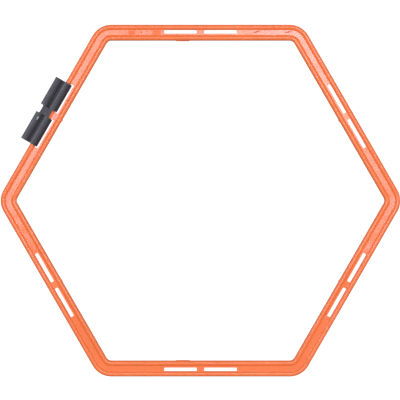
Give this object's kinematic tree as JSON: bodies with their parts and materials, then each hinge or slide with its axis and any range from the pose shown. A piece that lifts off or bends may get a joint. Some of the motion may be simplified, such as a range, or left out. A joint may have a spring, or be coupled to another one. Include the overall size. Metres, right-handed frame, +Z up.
{
  "type": "agility ring",
  "caption": "Flat hexagonal agility ring with a round rail along each edge, slots beside the outer rail and a swivelling snap clip that joins it to another ring.",
  "frame": {"origin": "centre of the hexagon, on the floor that the ring lies on", "axes": "+Z up; X runs through two opposite corners; Y runs through the middles of two opposite sides"},
  "size_m": [0.4998, 0.44, 0.0085],
  "materials": {
    "orange_plastic": "glossy moulded fluorescent orange",
    "charcoal_plastic": "satin moulded charcoal"
  },
  "bodies": {
    "ring": {"hex_ring": "orange_plastic"},
    "clip": {"connector_clip": "charcoal_plastic"}
  },
  "joints": [
    {"name": "clip_swivel", "type": "hinge", "parent": "ring", "child": "clip", "pos_m": [-0.18767, 0.10835, 0.0032], "axis": [0.5, 0.866, 0], "range_deg": [-115, 45]}
  ]
}
